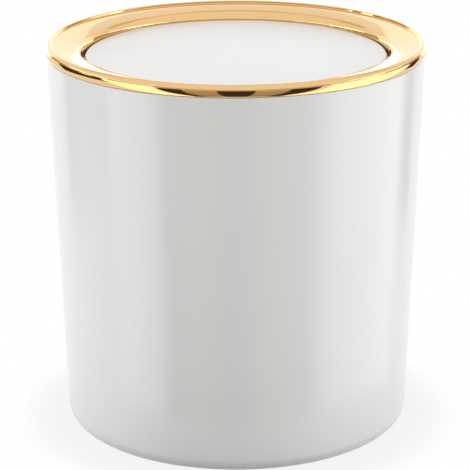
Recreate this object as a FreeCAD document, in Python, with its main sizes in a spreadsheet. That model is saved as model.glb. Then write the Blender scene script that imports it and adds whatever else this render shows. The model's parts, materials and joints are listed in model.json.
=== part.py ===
import FreeCAD, Part
import math
import os
import re

import Sketcher

# Desktop trash can: a tapered glossy bin, a plated ring on a plug-in lid frame, and a round
# self-levelling swing panel on two pivot pins.
# Frame: millimetres, +Z up, origin on the table under the middle of the bin.
# The pivot axis runs along X, the front of the bin faces -Y.

Vector = FreeCAD.Vector

# Driving dimensions: alias, value, meaning. Lengths in millimetres, angles in degrees.
DRIVING = [
    # bin body
    ("body_top_diameter", 156.0, "outside of the wall line at the height of the rim"),
    ("body_base_diameter", 144.5, "outside of the wall line where it meets the base plane"),
    ("body_height", 159.3, "base plane to rim"),
    ("body_wall", 2.2, "wall thickness, square to the wall"),
    ("body_floor", 2.6, "floor thickness"),
    ("base_round", 6.5, "outer rounding at the base"),
    ("base_round_inside", 4.5, "inner rounding at the floor"),
    ("base_recess", 1.4, "depth of the hollow under the floor"),
    ("base_land", 19.0, "width of the standing land, rounding included"),
    ("rim_rebate", 1.1, "how far the rim steps in behind the ring"),
    ("rim_round", 0.35, "rounding of the rim's edges and of the step below it"),
    # foot pads
    ("pad_diameter", 10.0, "rubber pad"),
    ("pad_thickness", 2.0, "whole pad"),
    ("pad_stand", 0.8, "how far a pad stands proud of the base"),
    ("pad_fit_gap", 0.15, "pad to recess, all round"),
    ("pad_edge", 0.4, "chamfer of the pad's lower edge"),
    # plated ring
    ("ring_overhang", 0.7, "ring's widest point beyond the wall of the bin"),
    ("ring_fit_gap", 0.3, "ring's hanging edge to the bin and to the frame"),
    ("ring_drop", 0.7, "how far the hanging edge covers the rim"),
    ("ring_face", 2.5, "hanging edge up to the ring's widest point"),
    ("ring_wall", 1.6, "shell thickness of the band"),
    ("rim_width", 15.6, "widest point of the ring to its mouth"),
    ("bead_radius", 2.2, "outer side of the rounded crest"),
    ("bead_inside", 0.5, "inner side of the rounded crest"),
    ("bead_slope", 80.0, "steepness of the crest's inner wall"),
    ("bead_wall", 0.45, "length of the crest's inner wall"),
    ("valley_round", 0.3, "hollow between crest and band"),
    ("band_slope", 3.0, "fall of the crowned band beside the crest"),
    ("lip_slope", 14.0, "fall of the crowned band beside the lip"),
    ("lip_round", 4.0, "where the band rolls over into the mouth"),
    ("lip_wall", 1.5, "thickness of the lip"),
    ("lip_cover", 1.5, "how far the lip reaches below the panel's top"),
    ("hook_width", 8.0, "snap hook"),
    ("hook_thickness", 1.2, "snap hook"),
    ("hook_nose", 0.8, "how far a nose catches under the web"),
    ("hook_nose_height", 1.6, "snap hook's nose"),
    ("hook_gap", 0.2, "nose to web"),
    ("slot_gap", 0.35, "hook to slot, all round"),
    # lid frame
    ("flange_thickness", 1.0, "flange that rests on the rim"),
    ("plug_fit_gap", 0.35, "plug to the bin's inner wall"),
    ("plug_wall", 1.8, "plug-in wall"),
    ("plug_depth", 14.0, "rim to the frame's lower edge"),
    ("seat_inset", 1.25, "ring's seat inside the plug's outer face"),
    ("web_thickness", 2.0, "flat web between plug and collar"),
    ("web_gap", 0.2, "lip to web"),
    ("collar_wall", 1.6, "collar round the panel"),
    ("collar_gap", 0.8, "collar's bore behind the lip"),
    ("frame_round", 0.4, "rounding of the frame's lower edges"),
    # pivots
    ("axis_depth", 4.3, "panel's top to the pivot axis"),
    ("pin_diameter", 2.5, "steel pivot pin"),
    ("pin_head_diameter", 4.5, "pin head"),
    ("pin_head_thickness", 1.0, "pin head"),
    ("pin_head_sink", 0.25, "head below the plug's face"),
    ("pin_head_gap", 0.2, "head to its counterbore"),
    ("pin_chamfer", 0.3, "pin's edges"),
    ("press_gap", 0.02, "pressed fits"),
    ("running_gap", 0.04, "pin to bush"),
    ("bush_wall", 0.95, "bush sleeve"),
    ("bush_length", 6.8, "sleeve inside the panel's boss"),
    ("bush_flange_diameter", 5.0, "thrust flange"),
    ("bush_flange", 0.75, "thrust flange thickness"),
    ("axial_gap", 0.1, "thrust flange to bearing block"),
    ("boss_wall", 1.6, "panel's boss round the bush"),
    ("boss_end", 1.0, "panel's boss behind the bush"),
    ("block_width", 12.4, "bearing block along Y"),
    ("block_proud", 0.75, "block's face inside the collar"),
    ("block_below", 1.0, "block under the stop groove"),
    # swing stops
    ("swing_limit", 75.0, "travel each way"),
    ("stop_arm", 4.1, "axis to the stop stub"),
    ("stub_radius", 0.9, "stop stub on the panel"),
    ("stop_gap", 0.3, "stub to the groove's end at the limit"),
    ("groove_gap", 0.3, "stub to the groove's sides and floor"),
    ("groove_depth", 1.6, "stop groove in the block"),
    # swing panel
    ("panel_gap", 0.9, "panel to the ring's lip"),
    ("panel_rise", 0.7, "panel's top above the end of the lip's rounding"),
    ("panel_plate", 2.0, "top plate"),
    ("panel_depth", 12.0, "top to lower edge"),
    ("panel_draft", 0.3, "skirt's inset at its lower edge"),
    ("panel_skirt", 1.6, "skirt thickness"),
    ("panel_edge", 0.7, "rounding of the top edge"),
    ("panel_lower_edge", 0.4, "rounding of the skirt's lower edge"),
    # underside cover, counterweights and screws
    ("cover_plate", 1.6, "cover thickness"),
    ("cover_gap", 0.25, "cover to skirt"),
    ("weight_length", 64.0, "steel counterweight bar"),
    ("weight_width", 12.0, "steel counterweight bar"),
    ("weight_thickness", 4.0, "steel counterweight bar"),
    ("weight_offset", 16.0, "axis to the middle of a bar"),
    ("weight_edge", 0.5, "bar's chamfers"),
    ("cradle_wall", 1.0, "rib round a bar"),
    ("cradle_height", 2.2, "rib round a bar"),
    ("cradle_gap", 0.25, "bar to rib"),
    ("keeper_wall", 1.2, "panel rib that holds a bar down"),
    ("keeper_span", 40.0, "between the two ribs over a bar"),
    ("keeper_gap", 0.3, "rib to bar"),
    ("screw_inset", 12.0, "panel's edge to a screw"),
    ("screw_shank", 2.2, "screw outside diameter"),
    ("screw_head", 4.4, "countersunk head diameter"),
    ("screw_length", 7.0, "over all"),
    ("screw_tip", 1.2, "pointed end"),
    ("screw_hole_gap", 0.2, "screw to the cover's hole"),
    ("recess_span", 2.4, "cross recess, end to end"),
    ("recess_slot", 0.6, "cross recess, slot width"),
    ("recess_depth", 0.8, "cross recess"),
    ("screw_boss_wall", 1.9, "panel's boss round a screw"),
    ("overrun", 2.0, "how far a cut runs past the material"),
]

# Sizes and places worked out from the driving dimensions.
LAYOUT = [
    # bin body
    ("body_top_r", "body_top_diameter / 2"),
    ("body_base_r", "body_base_diameter / 2"),
    ("wall_slope", "(body_top_r - body_base_r) / body_height"),
    ("wall_inset", "body_wall * sqrt(1 + wall_slope * wall_slope)"),
    ("base_z", "pad_stand"),
    ("rim_z", "base_z + body_height"),
    ("hollow_z", "base_z + base_recess"),
    ("floor_z", "hollow_z + body_floor"),
    ("bore_top_r", "body_top_r - wall_inset"),
    ("bore_floor_r", "bore_top_r - (rim_z - floor_z) * wall_slope"),
    ("rim_r", "body_top_r - rim_rebate"),
    ("ring_edge_z", "rim_z - ring_drop"),
    ("step_z", "ring_edge_z - ring_fit_gap"),
    ("step_r", "body_top_r - (rim_z - step_z) * wall_slope"),
    ("land_inner_r", "body_base_r - base_land"),
    ("pad_circle_r", "(land_inner_r + body_base_r - base_round) / 2"),
    # plated ring
    ("ring_r", "body_top_r + ring_overhang"),
    ("ring_bore_r", "rim_r + ring_fit_gap"),
    ("ring_wide_z", "ring_edge_z + ring_face"),
    ("face_run", "ring_r - step_r"),
    ("face_arc_r", "(face_run * face_run + ring_face * ring_face) / (2 * face_run)"),
    ("seat_z", "rim_z + flange_thickness"),
    ("crest_r", "ring_r - bead_radius"),
    ("crest_z", "ring_wide_z + bead_radius"),
    ("bead_end_r", "crest_r - bead_inside * sin(bead_slope)"),
    ("bead_end_z", "crest_z - bead_inside * (1 - cos(bead_slope))"),
    ("bead_wall_r", "bead_end_r - bead_wall * cos(bead_slope)"),
    ("bead_wall_z", "bead_end_z - bead_wall * sin(bead_slope)"),
    ("valley_end_r", "bead_wall_r - valley_round * (sin(bead_slope) - sin(band_slope))"),
    ("valley_end_z", "bead_wall_z - valley_round * (cos(band_slope) - cos(bead_slope))"),
    ("lip_r", "ring_r - rim_width"),
    ("lip_start_r", "lip_r + lip_round - lip_round * sin(lip_slope)"),
    ("band_arc_r", "(valley_end_r - lip_start_r) / (sin(lip_slope) - sin(band_slope))"),
    ("lip_start_z", "valley_end_z - band_arc_r * (cos(band_slope) - cos(lip_slope))"),
    ("lip_end_z", "lip_start_z - lip_round * cos(lip_slope)"),
    ("panel_top_z", "lip_end_z + panel_rise"),
    ("lip_bottom_z", "panel_top_z - lip_cover"),
    ("under_r", "lip_r + lip_wall"),
    ("under_z", "lip_start_z - ring_wall"),
    # lid frame
    ("plug_top_r", "bore_top_r - plug_fit_gap"),
    ("plug_bore_top_r", "plug_top_r - plug_wall"),
    ("frame_bottom_z", "rim_z - plug_depth"),
    ("plug_bottom_r", "plug_top_r - plug_depth * wall_slope"),
    ("seat_inner_r", "plug_top_r - seat_inset"),
    ("band_under_slope", "(seat_z - under_z) / (seat_inner_r - under_r)"),
    ("seat_corner_r", "seat_inner_r + ring_fit_gap"),
    ("plug_crown_z", "seat_z - (seat_corner_r - plug_bore_top_r) * (band_under_slope + wall_slope)"),
    ("web_top_z", "lip_bottom_z - web_gap"),
    ("web_bottom_z", "web_top_z - web_thickness"),
    ("plug_bore_web_top_r", "plug_bore_top_r - (rim_z - web_top_z) * wall_slope"),
    ("plug_bore_web_r", "plug_bore_top_r - (rim_z - web_bottom_z) * wall_slope"),
    ("plug_bore_bottom_r", "plug_bottom_r - plug_wall"),
    ("collar_r", "lip_r + collar_gap"),
    ("collar_outer_r", "collar_r + collar_wall"),
    ("hook_r", "(collar_outer_r + plug_bore_web_r - hook_thickness) / 2"),
    ("hook_outer_r", "hook_r + hook_thickness"),
    ("hook_top_z", "under_z + (hook_r - under_r) * band_under_slope + ring_wall / 2"),
    ("hook_catch_z", "web_bottom_z - hook_gap"),
    ("hook_tip_z", "hook_catch_z - hook_nose_height"),
    # pivots
    ("axis_z", "panel_top_z - axis_depth"),
    ("block_x", "collar_r - block_proud"),
    ("block_end_x", "plug_bore_web_r + plug_wall / 2"),
    ("groove_inner_r", "stop_arm - stub_radius - groove_gap"),
    ("groove_outer_r", "stop_arm + stub_radius + groove_gap"),
    ("block_bottom_z", "axis_z - groove_outer_r - block_below"),
    ("stop_half", "swing_limit * 1 deg + asin((stub_radius + stop_gap) / stop_arm)"),
    ("plug_axis_r", "plug_top_r - (rim_z - axis_z) * wall_slope"),
    ("pin_head_x", "plug_axis_r - pin_head_sink"),
    ("pin_shoulder_x", "pin_head_x - pin_head_thickness"),
    ("pin_r", "pin_diameter / 2"),
    ("bush_bore_r", "pin_r + running_gap"),
    ("bush_r", "bush_bore_r + bush_wall"),
    ("bush_face_x", "block_x - axial_gap"),
    ("boss_x", "bush_face_x - bush_flange"),
    ("bush_end_x", "boss_x - bush_length"),
    ("boss_end_x", "bush_end_x - boss_end"),
    ("boss_r", "bush_r + boss_wall"),
    ("stub_end_x", "block_x + groove_depth - groove_gap"),
    # swing panel, cover, counterweights and screws
    ("panel_r", "lip_r - panel_gap"),
    ("panel_bottom_z", "panel_top_z - panel_depth"),
    ("panel_lower_r", "panel_r - panel_draft"),
    ("plate_bottom_z", "panel_top_z - panel_plate"),
    ("skirt_r", "panel_r - panel_skirt"),
    ("skirt_lower_r", "panel_lower_r - panel_skirt"),
    ("cover_r", "skirt_lower_r - cover_gap"),
    ("cover_top_z", "panel_bottom_z + cover_plate"),
    ("weight_top_z", "cover_top_z + weight_thickness"),
    ("screw_circle_r", "panel_r - screw_inset"),
    ("screw_r", "screw_shank / 2"),
    ("screw_head_r", "screw_head / 2"),
    ("pilot_depth", "screw_length - cover_plate"),
]

PAD_ANGLES = {"front_left": 225, "front_right": 315, "back_right": 45, "back_left": 135}
SCREW_ANGLES = {"front_left": 240, "front_right": 300, "back_right": 60, "back_left": 120}
HOOK_COUNT = 4
HOOK_START_ANGLE = 45
SIDES = {"right": 1, "left": -1}
ROWS = {"front": -1, "back": 1}
TOUCH = 1e-6  # how near a measured edge has to be to the one that is looked for

DRIVING_NAMES = {name for name, _, _ in DRIVING}
LAYOUT_NAMES = {name for name, _ in LAYOUT}

doc = FreeCAD.newDocument("desktop_trash_can")


def full(formula):
    """A formula in plain names, with each name tied to the sheet that holds it."""

    def tie(match):
        name = match.group(0)
        if name in DRIVING_NAMES:
            return "dims." + name
        return "layout." + name if name in LAYOUT_NAMES else name

    return re.sub(r"[a-z_]+", tie, formula)


def fill_sheets():
    """Puts the driving dimensions and the formulas that follow from them into two sheets."""
    dims = doc.addObject("Spreadsheet::Sheet", "dims")
    for row, (name, number, meaning) in enumerate(DRIVING, start=1):
        dims.set(f"A{row}", name)
        dims.set(f"B{row}", str(number))
        dims.set(f"C{row}", meaning)
        dims.setAlias(f"B{row}", name)
    layout = doc.addObject("Spreadsheet::Sheet", "layout")
    for row, (name, formula) in enumerate(LAYOUT, start=1):
        layout.set(f"A{row}", name)
        layout.set(f"B{row}", "=" + full(formula))
        layout.setAlias(f"B{row}", name)
    doc.recompute()
    return dims


sheet = fill_sheets()


def value(formula):
    """The number that a formula comes to."""
    return float(sheet.evalExpression(full(formula)))


# Helpers for bodies, sketches and features


def new_body(label):
    body = doc.addObject("PartDesign::Body", label)
    body.Label = label
    return body


def new_sketch(body, role, name, offset="0", turn=0):
    """A sketch on one of the body's own planes, moved along its normal and turned about Z."""
    sketch = body.newObject("Sketcher::SketchObject", name)
    plane = next(f for f in body.Origin.OriginFeatures if f.Role == role)
    sketch.AttachmentSupport = [(plane, "")]
    sketch.MapMode = "FlatFace"
    upright = Vector(0, 1, 0) if role == "XZ_Plane" else Vector(0, 0, 1)
    sketch.AttachmentOffset = FreeCAD.Placement(Vector(), FreeCAD.Rotation(upright, turn))
    sketch.setExpression("AttachmentOffset.Base.z", full(offset))
    doc.recompute()
    return sketch


def hold(sketch, geometry, end, x, y):
    """Ties a point of the sketch to two formulas."""
    for kind, formula in (("DistanceX", x), ("DistanceY", y)):
        index = sketch.addConstraint(Sketcher.Constraint(kind, -1, 1, geometry, end, value(formula)))
        sketch.setExpression(f"Constraints[{index}]", full(formula))


def arc_between(start, end, radius):
    """The short arc that turns left from start to end."""
    chord = end - start
    rise = math.sqrt(max(radius * radius - chord.Length * chord.Length / 4, 0.0))
    left = Vector(-chord.y, chord.x, 0).normalize()
    centre = (start + end) / 2 + left * rise
    first = math.atan2(start.y - centre.y, start.x - centre.x)
    last = math.atan2(end.y - centre.y, end.x - centre.x)
    return Part.ArcOfCircle(Part.Circle(centre, Vector(0, 0, 1), radius), first, last)


def outline(sketch, corners):
    """A closed outline. A corner is (x, y) where a line leads to it, and (x, y, radius, turn) where
    an arc does: turn is "left" or "right", the way that the arc bends on its way to the corner."""
    places = [Vector(value(c[0]), value(c[1]), 0) for c in corners]
    ends = []
    for i, corner in enumerate(corners):
        start, end = places[i - 1], places[i]
        if len(corner) == 2:
            edge = sketch.addGeometry(Part.LineSegment(start, end), False)
            ends.append((edge, 1, 2))
        elif corner[3] == "left":
            edge = sketch.addGeometry(arc_between(start, end, value(corner[2])), False)
            ends.append((edge, 1, 2))
        else:
            edge = sketch.addGeometry(arc_between(end, start, value(corner[2])), False)
            ends.append((edge, 2, 1))
    for i, corner in enumerate(corners):
        edge, _, finish = ends[i]
        following, begin, _ = ends[(i + 1) % len(corners)]
        sketch.addConstraint(Sketcher.Constraint("Coincident", edge, finish, following, begin))
        hold(sketch, edge, finish, corner[0], corner[1])
    for (edge, _, _), corner in zip(ends, corners):
        if len(corner) == 4:
            radius = Sketcher.Constraint("Radius", edge, value(corner[2]))
            index = sketch.addConstraint(radius)
            sketch.setExpression(f"Constraints[{index}]", full(corner[2]))
    doc.recompute()


def rectangle(sketch, left, low, right, high):
    outline(sketch, [(left, low), (right, low), (right, high), (left, high)])


def circle(sketch, x, y, radius):
    shape = Part.Circle(Vector(value(x), value(y), 0), Vector(0, 0, 1), value(radius))
    edge = sketch.addGeometry(shape, False)
    index = sketch.addConstraint(Sketcher.Constraint("Radius", edge, value(radius)))
    sketch.setExpression(f"Constraints[{index}]", full(radius))
    hold(sketch, edge, 3, x, y)


def revolve(body, sketch):
    feature = body.newObject("PartDesign::Revolution", sketch.Name + "_revolved")
    feature.Profile = sketch
    feature.ReferenceAxis = (sketch, ["V_Axis"])
    feature.Angle = 360
    doc.recompute()
    return feature


def pad(body, sketch, length, both_ways=False):
    feature = body.newObject("PartDesign::Pad", sketch.Name + "_pad")
    feature.Profile = sketch
    feature.setExpression("Length", full(length))
    feature.Midplane = both_ways
    doc.recompute()
    return feature


def pocket(body, sketch, length, along_normal=False):
    """Cuts against the sketch's normal, or along it, and makes sure that something was cut."""
    before = body.Shape.Volume
    feature = body.newObject("PartDesign::Pocket", sketch.Name + "_pocket")
    feature.Profile = sketch
    feature.setExpression("Length", full(length))
    feature.Reversed = along_normal
    doc.recompute()
    if not body.Shape.Volume < before:
        raise RuntimeError(f"{body.Label}: {feature.Name} cuts nothing")
    return feature


def around(body, features, count):
    """Repeats features evenly round the Z axis."""
    pattern = body.newObject("PartDesign::PolarPattern", features[0].Name + "_around")
    pattern.Originals = features
    pattern.Axis = (next(f for f in body.Origin.OriginFeatures if f.Role == "Z_Axis"), [""])
    pattern.Angle = 360
    pattern.Occurrences = count
    body.Tip = pattern
    doc.recompute()
    return pattern


def rings_at(shape, *places):
    """The names of the level round edges of the given radii and heights."""
    names = []
    for radius, height in places:
        for number, edge in enumerate(shape.Edges, start=1):
            if not isinstance(edge.Curve, Part.Circle):
                continue
            off = abs(edge.Curve.Radius - value(radius)) + abs(edge.Curve.Center.z - value(height))
            if off < TOUCH and f"Edge{number}" not in names:
                names.append(f"Edge{number}")
    if not names:
        raise RuntimeError(f"no round edge at {places}")
    return names


def soften(body, kind, edges, size):
    """A Fillet or a Chamfer on named edges of the body's last feature."""
    base = body.Tip
    feature = body.newObject("PartDesign::" + kind, f"{base.Name}_{kind.lower()}")
    feature.Base = (base, edges)
    feature.setExpression("Radius" if kind == "Fillet" else "Size", full(size))
    doc.recompute()
    return feature


def place(body, x, y, z, axis=None, angle=0):
    """Puts a body that was drawn about its own origin where it belongs."""
    turn = FreeCAD.Rotation(axis or Vector(0, 0, 1), angle)
    body.Placement = FreeCAD.Placement(Vector(), turn)
    for letter, formula in zip("xyz", (x, y, z)):
        body.setExpression(f"Placement.Base.{letter}", full(formula))
    doc.recompute()


def on_circle(radius, angle):
    """X and Y formulas of a place on a circle about the Z axis."""
    return f"{radius} * cos({angle})", f"{radius} * sin({angle})"


# Bin body and feet


def make_bin_body():
    """Tapered tub with a rim that steps in, a rounded base, a hollow underside and seats for the pads."""
    body = new_body("bin_body")
    profile = new_sketch(body, "XZ_Plane", "bin_profile")
    outline(
        profile,
        [
            ("0", "hollow_z"),
            ("land_inner_r", "hollow_z"),
            ("land_inner_r", "base_z"),
            ("body_base_r", "base_z"),
            ("step_r", "step_z"),
            ("rim_r", "step_z"),
            ("rim_r", "rim_z"),
            ("bore_top_r", "rim_z"),
            ("bore_floor_r", "floor_z"),
            ("0", "floor_z"),
        ],
    )
    revolve(body, profile)
    soften(body, "Fillet", rings_at(body.Shape, ("body_base_r", "base_z")), "base_round")
    soften(body, "Fillet", rings_at(body.Shape, ("bore_floor_r", "floor_z")), "base_round_inside")
    rim = rings_at(body.Shape, ("step_r", "step_z"), ("rim_r", "rim_z"), ("bore_top_r", "rim_z"))
    soften(body, "Fillet", rim, "rim_round")
    seats = new_sketch(body, "XY_Plane", "pad_seats", "base_z")
    for angle in PAD_ANGLES.values():
        circle(seats, *on_circle("pad_circle_r", angle), "pad_diameter / 2 + pad_fit_gap")
    pocket(body, seats, "pad_thickness - pad_stand", along_normal=True)
    return body


def make_foot_pad(name, angle):
    """Round rubber pad with a chamfered lower edge."""
    body = new_body(f"foot_pad_{name}")
    face = new_sketch(body, "XY_Plane", f"pad_face_{name}")
    circle(face, "0", "0", "pad_diameter / 2")
    pad(body, face, "pad_thickness")
    soften(body, "Chamfer", rings_at(body.Shape, ("pad_diameter / 2", "0")), "pad_edge")
    place(body, *on_circle("pad_circle_r", angle), "0")
    return body


# Plated ring and lid frame


def make_rim_ring():
    """Plated shell: hanging edge, rounded crest, crowned band and rolled lip, with snap hooks."""
    body = new_body("rim_ring")
    profile = new_sketch(body, "XZ_Plane", "ring_profile")
    outline(
        profile,
        [
            ("ring_bore_r", "ring_edge_z"),
            ("step_r", "ring_edge_z"),
            ("ring_r", "ring_wide_z", "face_arc_r", "left"),
            ("crest_r", "crest_z", "bead_radius", "left"),
            ("bead_end_r", "bead_end_z", "bead_inside", "left"),
            ("bead_wall_r", "bead_wall_z"),
            ("valley_end_r", "valley_end_z", "valley_round", "right"),
            ("lip_start_r", "lip_start_z", "band_arc_r", "left"),
            ("lip_r", "lip_end_z", "lip_round", "left"),
            ("lip_r", "lip_bottom_z"),
            ("under_r", "lip_bottom_z"),
            ("under_r", "under_z"),
            ("seat_inner_r", "seat_z"),
            ("ring_bore_r", "seat_z"),
        ],
    )
    revolve(body, profile)
    hook = new_sketch(body, "XZ_Plane", "hook_profile", turn=HOOK_START_ANGLE)
    outline(
        hook,
        [
            ("hook_r", "hook_tip_z"),
            ("hook_outer_r", "hook_tip_z"),
            ("hook_outer_r + hook_nose", "hook_catch_z"),
            ("hook_outer_r", "hook_catch_z"),
            ("hook_outer_r", "hook_top_z"),
            ("hook_r", "hook_top_z"),
        ],
    )
    around(body, [pad(body, hook, "hook_width", both_ways=True)], HOOK_COUNT)
    return body


def make_lid_frame():
    """Moulded frame: flange on the rim, plug wall in the mouth, web, collar and two bearing blocks."""
    body = new_body("lid_frame")
    profile = new_sketch(body, "XZ_Plane", "frame_profile")
    outline(
        profile,
        [
            ("plug_bottom_r", "frame_bottom_z"),
            ("plug_top_r", "rim_z"),
            ("rim_r", "rim_z"),
            ("rim_r", "seat_z"),
            ("seat_corner_r", "seat_z"),
            ("plug_bore_top_r", "plug_crown_z"),
            ("plug_bore_web_top_r", "web_top_z"),
            ("collar_r", "web_top_z"),
            ("collar_r", "frame_bottom_z"),
            ("collar_outer_r", "frame_bottom_z"),
            ("collar_outer_r", "web_bottom_z"),
            ("plug_bore_web_r", "web_bottom_z"),
            ("plug_bore_bottom_r", "frame_bottom_z"),
        ],
    )
    revolve(body, profile)
    lower = rings_at(
        body.Shape,
        ("plug_bottom_r", "frame_bottom_z"),
        ("plug_bore_bottom_r", "frame_bottom_z"),
        ("collar_r", "frame_bottom_z"),
        ("collar_outer_r", "frame_bottom_z"),
    )
    soften(body, "Fillet", lower, "frame_round")
    slot = new_sketch(body, "XY_Plane", "hook_slot", "web_top_z", turn=HOOK_START_ANGLE)
    half = "(hook_width / 2 + slot_gap)"
    rectangle(slot, "hook_r - slot_gap", f"-{half}", "hook_outer_r + hook_nose + slot_gap", half)
    around(body, [pocket(body, slot, "web_thickness")], HOOK_COUNT)
    add_bearing_blocks(body)
    return body


def add_bearing_blocks(body):
    """A block at each end of the pivot axis, with the pin's bore, its head's seat and a stop groove."""
    base = new_sketch(body, "XY_Plane", "block_base", "block_bottom_z")
    rectangle(base, "block_x", "-block_width / 2", "block_end_x", "block_width / 2")
    block = pad(body, base, "web_top_z - block_bottom_z")
    groove = new_sketch(body, "YZ_Plane", "stop_groove", "block_x")
    inner, outer = "groove_inner_r", "groove_outer_r"
    end_y, end_z = "{} * sin(stop_half)", "axis_z - {} * cos(stop_half)"
    outline(
        groove,
        [
            ("-" + end_y.format(outer), end_z.format(outer)),
            ("0", "axis_z - groove_outer_r", outer, "left"),
            (end_y.format(outer), end_z.format(outer), outer, "left"),
            (end_y.format(inner), end_z.format(inner)),
            ("0", "axis_z - groove_inner_r", inner, "right"),
            ("-" + end_y.format(inner), end_z.format(inner), inner, "right"),
        ],
    )
    stop = pocket(body, groove, "groove_depth", along_normal=True)
    bore = new_sketch(body, "YZ_Plane", "pin_bore", "block_x - overrun")
    circle(bore, "0", "axis_z", "pin_r + press_gap")
    bored = pocket(body, bore, "plug_axis_r - block_x + 2 * overrun", along_normal=True)
    seat = new_sketch(body, "YZ_Plane", "pin_head_seat", "pin_shoulder_x")
    circle(seat, "0", "axis_z", "pin_head_diameter / 2 + pin_head_gap")
    seated = pocket(body, seat, "pin_head_thickness + overrun", along_normal=True)
    around(body, [block, stop, bored, seated], len(SIDES))


# Pivot pins and bushes


def make_pivot_pin(side, sign):
    """Headed steel pin, pressed into the frame from outside. Drawn along Z from the head's face."""
    body = new_body(f"pivot_pin_{side}")
    profile = new_sketch(body, "XZ_Plane", f"pin_profile_{side}")
    outline(
        profile,
        [
            ("0", "0"),
            ("pin_head_diameter / 2 - pin_chamfer", "0"),
            ("pin_head_diameter / 2", "pin_chamfer"),
            ("pin_head_diameter / 2", "pin_head_thickness"),
            ("pin_r", "pin_head_thickness"),
            ("pin_r", "pin_head_x - bush_end_x - pin_chamfer"),
            ("pin_r - pin_chamfer", "pin_head_x - bush_end_x"),
            ("0", "pin_head_x - bush_end_x"),
        ],
    )
    revolve(body, profile)
    place(body, f"{sign} * pin_head_x", "0", "axis_z", Vector(0, 1, 0), -90 * sign)
    return body


def make_pivot_bush(side, sign):
    """Flanged bush, pressed into the panel's boss. Drawn along Z from the thrust face."""
    body = new_body(f"pivot_bush_{side}")
    profile = new_sketch(body, "XZ_Plane", f"bush_profile_{side}")
    outline(
        profile,
        [
            ("bush_bore_r", "0"),
            ("bush_flange_diameter / 2", "0"),
            ("bush_flange_diameter / 2", "bush_flange"),
            ("bush_r", "bush_flange"),
            ("bush_r", "bush_flange + bush_length"),
            ("bush_bore_r", "bush_flange + bush_length"),
        ],
    )
    revolve(body, profile)
    place(body, f"{sign} * bush_face_x", "0", "axis_z", Vector(0, 1, 0), -90 * sign)
    return body


# Swing panel


def make_swing_panel():
    """Flat round lid with a skirt, pivot bosses, stop stubs, screw bosses and ribs over the weights."""
    body = new_body("swing_panel")
    profile = new_sketch(body, "XZ_Plane", "panel_profile")
    outline(
        profile,
        [
            ("0", "plate_bottom_z"),
            ("skirt_r", "plate_bottom_z"),
            ("skirt_lower_r", "panel_bottom_z"),
            ("panel_lower_r", "panel_bottom_z"),
            ("panel_r", "panel_top_z"),
            ("0", "panel_top_z"),
        ],
    )
    revolve(body, profile)
    soften(body, "Fillet", rings_at(body.Shape, ("panel_r", "panel_top_z")), "panel_edge")
    lower = rings_at(body.Shape, ("panel_lower_r", "panel_bottom_z"))
    soften(body, "Fillet", lower, "panel_lower_edge")
    add_pivot_bosses(body)
    add_screw_bosses(body)
    add_weight_keepers(body)
    return body


def add_pivot_bosses(body):
    boss_face = new_sketch(body, "YZ_Plane", "boss_face", "boss_end_x")
    circle(boss_face, "0", "axis_z", "boss_r")
    boss = pad(body, boss_face, "boss_x - boss_end_x")
    stub_face = new_sketch(body, "YZ_Plane", "stub_face", "skirt_lower_r")
    circle(stub_face, "0", "axis_z - stop_arm", "stub_radius")
    stub = pad(body, stub_face, "stub_end_x - skirt_lower_r")
    bore = new_sketch(body, "YZ_Plane", "bush_bore", "boss_x + overrun")
    circle(bore, "0", "axis_z", "bush_r + press_gap")
    bored = pocket(body, bore, "boss_x - boss_end_x + 2 * overrun")
    around(body, [boss, stub, bored], len(SIDES))


def add_screw_bosses(body):
    posts = new_sketch(body, "XY_Plane", "screw_posts", "cover_top_z")
    holes = new_sketch(body, "XY_Plane", "screw_pilots", "cover_top_z")
    for angle in SCREW_ANGLES.values():
        spot = on_circle("screw_circle_r", angle)
        circle(posts, *spot, "screw_r + screw_boss_wall")
        circle(holes, *spot, "screw_r + press_gap")
    pad(body, posts, "plate_bottom_z + panel_plate / 2 - cover_top_z")
    pocket(body, holes, "pilot_depth", along_normal=True)


def add_weight_keepers(body):
    """Two ribs over each counterweight bar, reaching down from the plate."""
    ribs = new_sketch(body, "XY_Plane", "keeper_ribs", "weight_top_z + keeper_gap")
    for row in ROWS.values():
        for side in SIDES.values():
            middle_x = f"{side} * keeper_span / 2"
            middle_y = f"{row} * weight_offset"
            rectangle(
                ribs,
                f"{middle_x} - keeper_wall / 2",
                f"{middle_y} - weight_width / 2",
                f"{middle_x} + keeper_wall / 2",
                f"{middle_y} + weight_width / 2",
            )
    pad(body, ribs, "plate_bottom_z + panel_plate / 2 - weight_top_z - keeper_gap")


# Underside cover, counterweights and screws


def make_underside_cover():
    """Round plate inside the skirt, with countersunk screw holes and a ribbed cradle for each bar."""
    body = new_body("underside_cover")
    profile = new_sketch(body, "XZ_Plane", "cover_profile")
    rectangle(profile, "0", "panel_bottom_z", "cover_r", "cover_top_z")
    revolve(body, profile)
    for name, row in ROWS.items():
        cradle = new_sketch(body, "XY_Plane", f"cradle_{name}", "cover_top_z")
        middle = f"{row} * weight_offset"
        for gap in ("cradle_gap", "(cradle_gap + cradle_wall)"):
            half_x = f"(weight_length / 2 + {gap})"
            half_y = f"(weight_width / 2 + {gap})"
            rectangle(cradle, f"-{half_x}", f"{middle} - {half_y}", half_x, f"{middle} + {half_y}")
        pad(body, cradle, "cradle_height")
    holes = new_sketch(body, "XY_Plane", "cover_holes", "cover_top_z")
    for angle in SCREW_ANGLES.values():
        circle(holes, *on_circle("screw_circle_r", angle), "screw_r + screw_hole_gap")
    pocket(body, holes, "cover_plate")
    mouths = rings_at(body.Shape, ("screw_r + screw_hole_gap", "panel_bottom_z"))
    soften(body, "Chamfer", mouths, "screw_head_r - screw_r")
    return body


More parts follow.
